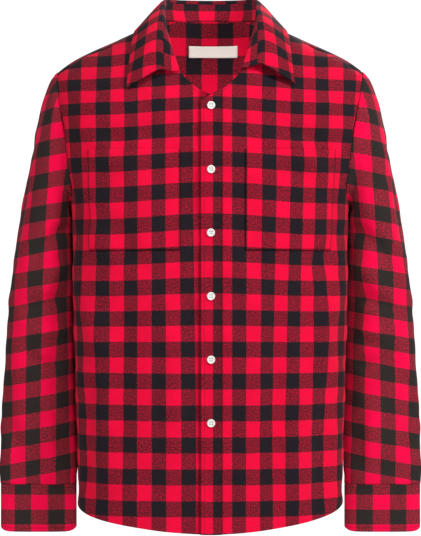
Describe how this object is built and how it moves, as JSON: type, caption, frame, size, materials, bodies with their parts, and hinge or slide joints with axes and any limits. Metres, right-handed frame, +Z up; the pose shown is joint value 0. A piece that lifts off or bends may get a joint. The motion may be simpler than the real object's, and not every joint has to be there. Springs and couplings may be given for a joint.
{
  "type": "flannel shirt",
  "caption": "Long-sleeved checked flannel shirt, buttoned, with an open turn-down collar and chest pockets, filled out as if worn.",
  "frame": {"origin": "middle of the neck, level with the shoulders' top, where the wearer's neck and shoulders hold the shirt up", "axes": "+Z up the body, the front faces -Y, +X is the wearer's left"},
  "size_m": [0.6124, 0.2253, 0.7789],
  "materials": {
    "flannel_body": "brushed cotton flannel, red and black check",
    "flannel_sleeve": "brushed cotton flannel, red and black check",
    "flannel_trim": "brushed cotton flannel, red and black check",
    "button": "satin white shirt button",
    "label": "woven satin, blank"
  },
  "bodies": {
    "root": {"back": "flannel_body", "yoke": "flannel_body", "front_left": "flannel_body", "front_right": "flannel_body", "front_placket": "flannel_trim", "pocket_left": "flannel_trim", "pocket_right": "flannel_trim", "sleeve_left": "flannel_sleeve", "sleeve_right": "flannel_sleeve", "cuff_left": "flannel_sleeve", "cuff_right": "flannel_sleeve", "collar_stand": "flannel_trim", "collar_leaf": "flannel_trim", "label": "label", "button_1": "button", "button_2": "button", "button_3": "button", "button_4": "button", "button_5": "button", "button_6": "button", "cuff_button_left": "button", "cuff_button_right": "button"}
  },
  "joints": []
}
